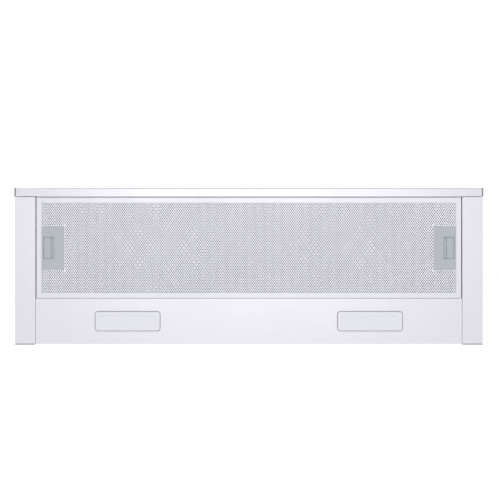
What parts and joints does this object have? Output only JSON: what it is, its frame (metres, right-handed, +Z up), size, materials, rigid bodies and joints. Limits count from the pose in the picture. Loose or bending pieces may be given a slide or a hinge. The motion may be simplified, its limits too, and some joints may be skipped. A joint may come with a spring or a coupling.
{
  "type": "under cabinet range hood",
  "caption": "Slim under-cabinet range hood with a pull-out fascia and filter drawer, finger latches, rear lamps, push buttons, blower box and round duct collar.",
  "frame": {"origin": "centre of the four cabinet screw holes, on the tray's top face that meets the cabinet", "axes": "+X to the right seen from the front, +Y towards the wall, +Z up; the drawer pulls out along -Y"},
  "size_m": [0.898, 0.3, 0.222],
  "materials": {
    "body_paint": "satin pale silver-white powder paint",
    "fascia_paint": "satin pale silver-white powder paint, smoother",
    "cap_plastic": "grey moulded plastic",
    "filter_aluminium": "anodised aluminium channel and expanded mesh",
    "latch_plastic": "grey moulded plastic, fine grain",
    "slider_plastic": "grey moulded plastic, fine grain",
    "lens_plastic": "translucent white diffuser",
    "lamp_plastic": "white moulded plastic",
    "zinc_steel": "zinc-coated sheet, faint spangle",
    "screw_steel": "zinc-plated",
    "collar_plastic": "black moulded plastic",
    "scroll_plastic": "dark grey moulded plastic",
    "wheel_plastic": "grey moulded plastic",
    "motor_steel": "dull steel",
    "button_plastic": "pale grey moulded plastic",
    "bezel_plastic": "dark grey moulded plastic",
    "electric_plastic": "off-white moulded plastic",
    "board_green": "solder-masked board with LEDs",
    "rail_steel": "bright zinc-plated, greased",
    "spring_steel": "bright wire"
  },
  "bodies": {
    "root": {"tray_shell": "body_paint", "side_cover_left": "body_paint", "side_cover_right": "body_paint", "lamp_panel": "body_paint", "lamp_cover_left": "lens_plastic", "lamp_cover_right": "lens_plastic", "lamp_housing_left": "lamp_plastic", "lamp_housing_right": "lamp_plastic", "led_boards": "board_green", "blower_box": "zinc_steel", "box_roof": "zinc_steel", "body_screws": "screw_steel", "inner_filter_frame": "filter_aluminium", "inner_filter_mesh": "filter_aluminium", "scroll_left": "scroll_plastic", "scroll_right": "scroll_plastic", "motor_body": "motor_steel", "motor_bracket": "zinc_steel", "duct_collar": "collar_plastic", "terminal_box": "electric_plastic", "terminal_lid": "electric_plastic", "terminal_block": "electric_plastic", "cable_gland": "collar_plastic", "capacitor": "electric_plastic", "drawer_switch": "electric_plastic", "outer_rail_left": "rail_steel", "outer_rail_right": "rail_steel"},
    "drawer": {"fascia": "fascia_paint", "fascia_cap_left": "cap_plastic", "fascia_cap_right": "cap_plastic", "drawer_frame": "body_paint", "drawer_top_panel": "body_paint", "fascia_screws": "screw_steel", "button_bezel": "bezel_plastic", "switch_module": "bezel_plastic", "inner_rail_left": "rail_steel", "inner_rail_right": "rail_steel"},
    "filter": {"filter_frame": "filter_aluminium", "filter_mesh_lower": "filter_aluminium", "filter_mesh_core": "filter_aluminium", "filter_mesh_upper": "filter_aluminium", "latch_plate_left": "latch_plastic", "latch_plate_right": "latch_plastic", "latch_spring_left": "spring_steel", "latch_spring_right": "spring_steel"},
    "latch_left": {"latch_slider_left": "slider_plastic"},
    "latch_right": {"latch_slider_right": "slider_plastic"},
    "cage_left": {"ball_cage_left": "rail_steel"},
    "cage_right": {"ball_cage_right": "rail_steel"},
    "flap_front": {"flap_front": "collar_plastic"},
    "flap_rear": {"flap_rear": "collar_plastic"},
    "fan": {"fan_wheel": "wheel_plastic", "motor_shaft": "motor_steel"},
    "switch_lever": {"switch_lever": "electric_plastic"},
    "button_off": {"button_off": "button_plastic"},
    "button_speed_1": {"button_speed_1": "button_plastic"},
    "button_speed_2": {"button_speed_2": "button_plastic"},
    "button_speed_3": {"button_speed_3": "button_plastic"},
    "button_light": {"button_light": "button_plastic"}
  },
  "joints": [
    {"name": "drawer_slide", "type": "slide", "parent": "root", "child": "drawer", "axis": [0, -1, 0], "range_m": [0, 0.16]},
    {"name": "filter_drop", "type": "slide", "parent": "drawer", "child": "filter", "axis": [0, 0, -1], "range_m": [0, 0.06]},
    {"name": "latch_left_slide", "type": "slide", "parent": "filter", "child": "latch_left", "axis": [1, 0, 0], "range_m": [0, 0.006], "stiffness_N_per_m": 400, "springref_m": -0.004, "deforming": ["latch_spring_left"]},
    {"name": "latch_right_slide", "type": "slide", "parent": "filter", "child": "latch_right", "axis": [-1, 0, 0], "range_m": [0, 0.006], "stiffness_N_per_m": 400, "springref_m": -0.004, "deforming": ["latch_spring_right"]},
    {"name": "cage_left_roll", "type": "slide", "parent": "root", "child": "cage_left", "axis": [0, -1, 0], "range_m": [0, 0.08]},
    {"name": "cage_right_roll", "type": "slide", "parent": "root", "child": "cage_right", "axis": [0, -1, 0], "range_m": [0, 0.08]},
    {"name": "flap_front_swing", "type": "hinge", "parent": "root", "child": "flap_front", "pos_m": [0, 0.01835, 0.1447], "axis": [-1, 0, 0], "range_deg": [0, 75]},
    {"name": "flap_rear_swing", "type": "hinge", "parent": "root", "child": "flap_rear", "pos_m": [0, 0.02515, 0.1447], "axis": [1, 0, 0], "range_deg": [0, 75]},
    {"name": "fan_spin", "type": "hinge", "parent": "root", "child": "fan", "pos_m": [0, 0.022, 0.072], "axis": [1, 0, 0], "continuous": true},
    {"name": "lever_swing", "type": "hinge", "parent": "root", "child": "switch_lever", "pos_m": [0.367, 0.1402, -0.018], "axis": [0, 0, -1], "range_deg": [0, 12]},
    {"name": "button_off_press", "type": "slide", "parent": "drawer", "child": "button_off", "axis": [0, 1, 0], "range_m": [0, 0.0025], "stiffness_N_per_m": 800, "springref_m": -0.0005},
    {"name": "button_speed_1_press", "type": "slide", "parent": "drawer", "child": "button_speed_1", "axis": [0, 1, 0], "range_m": [0, 0.0025], "stiffness_N_per_m": 800, "springref_m": -0.0005},
    {"name": "button_speed_2_press", "type": "slide", "parent": "drawer", "child": "button_speed_2", "axis": [0, 1, 0], "range_m": [0, 0.0025], "stiffness_N_per_m": 800, "springref_m": -0.0005},
    {"name": "button_speed_3_press", "type": "slide", "parent": "drawer", "child": "button_speed_3", "axis": [0, 1, 0], "range_m": [0, 0.0025], "stiffness_N_per_m": 800, "springref_m": -0.0005},
    {"name": "button_light_press", "type": "slide", "parent": "drawer", "child": "button_light", "axis": [0, 1, 0], "range_m": [0, 0.0025], "stiffness_N_per_m": 800, "springref_m": -0.0005}
  ],
  "couplings": [
    {"joint": "cage_left_roll", "follows": "drawer_slide", "ratio": 0.5},
    {"joint": "cage_right_roll", "follows": "drawer_slide", "ratio": 0.5},
    {"joint": "lever_swing", "follows": "drawer_slide", "rad_per_m": 1.3}
  ]
}
